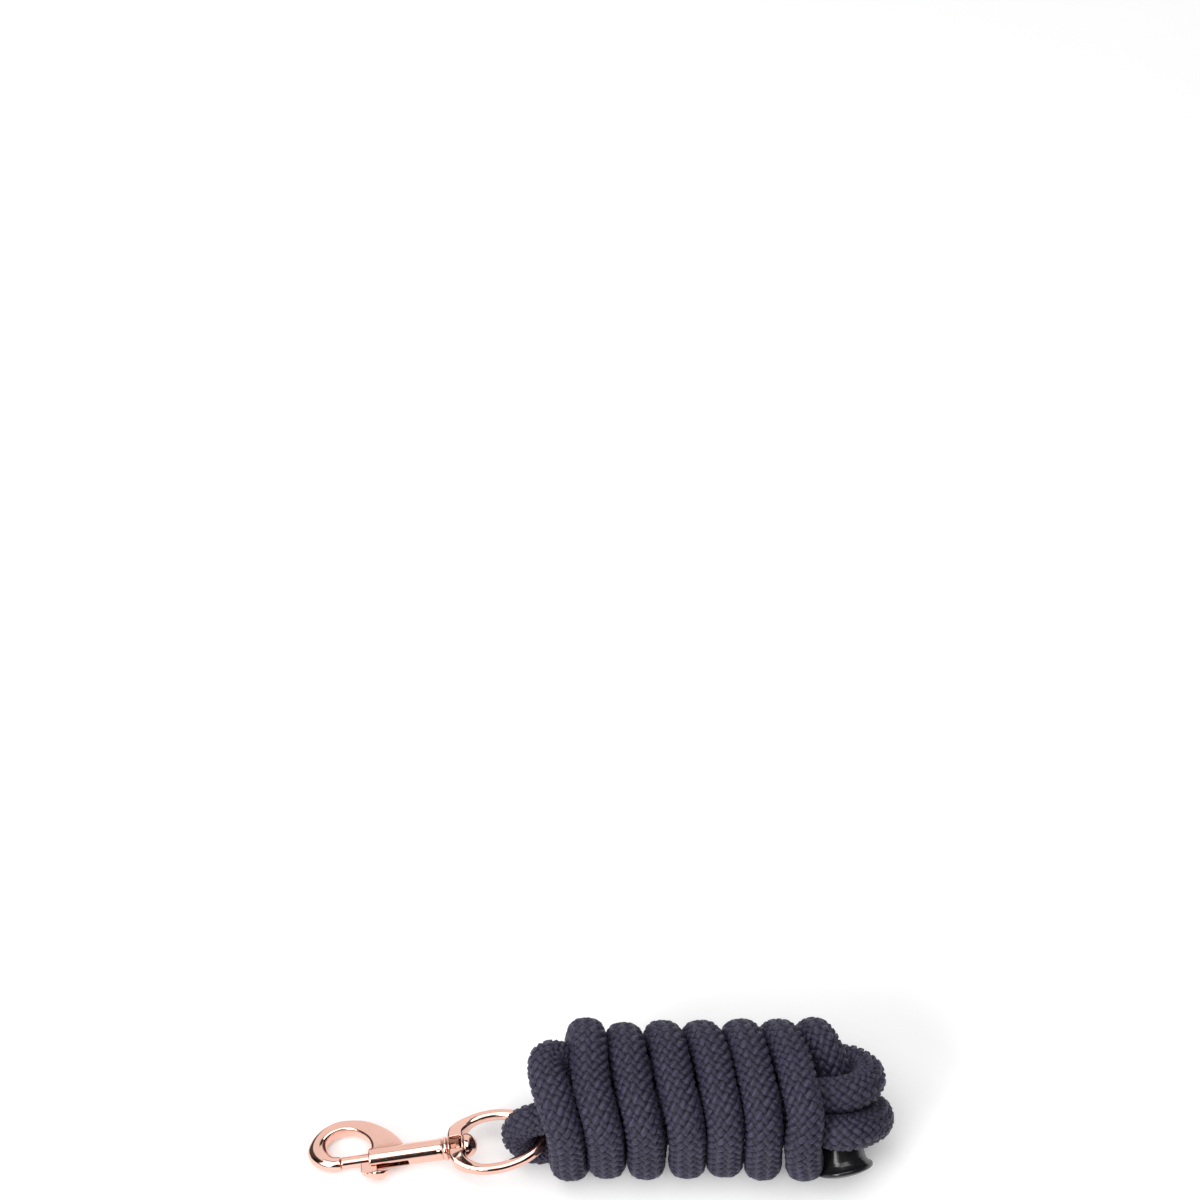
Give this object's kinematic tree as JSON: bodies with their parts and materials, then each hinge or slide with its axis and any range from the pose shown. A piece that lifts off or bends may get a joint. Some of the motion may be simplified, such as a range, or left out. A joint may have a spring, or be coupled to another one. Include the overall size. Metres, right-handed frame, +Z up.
{
  "type": "lead rope",
  "caption": "Thick braided lead rope wound into a wrapped hank, with a swivel bolt snap at one end and a flanged cap at the other.",
  "frame": {"origin": "on the ground under the middle of the whole object as it lies", "axes": "+X along the hank from the snap to the cap, +Y to the back, +Z up"},
  "size_m": [0.2768, 0.0694, 0.0688],
  "materials": {
    "rope": "braided flat multifilament strands with a slight sheen",
    "plated_metal": "polished rose gold plating on cast zinc",
    "steel": "plain drawn steel",
    "cap": "smooth black moulded plastic"
  },
  "bodies": {
    "rope": {"rope_hank": "rope", "rope_eye_loop": "rope", "rope_upper_bight": "rope", "rope_lower_bight": "rope", "rope_tail": "rope", "loop_clamp": "steel", "end_cap": "cap"},
    "eye": {"swivel_eye": "plated_metal"},
    "snap": {"snap_body": "plated_metal", "swivel_pin": "plated_metal", "bolt_spring": "steel"},
    "bolt": {"bolt": "plated_metal", "thumb_knob": "plated_metal"}
  },
  "joints": [
    {"name": "eye_pivot", "type": "hinge", "parent": "rope", "child": "eye", "pos_m": [-0.0268, -0.0118, 0.0221], "axis": [-0.0698, 0.9976, 0], "range_deg": [0, 45]},
    {"name": "swivel", "type": "hinge", "parent": "eye", "child": "snap", "pos_m": [-0.06748, -0.01464, 0.01528], "axis": [0.9839, 0.0688, 0.165], "continuous": true},
    {"name": "bolt_slide", "type": "slide", "parent": "snap", "child": "bolt", "axis": [0.9839, 0.0688, 0.165], "range_m": [0, 0.013], "stiffness_N_per_m": 350, "springref_m": -0.006, "deforming": ["bolt_spring"]}
  ]
}
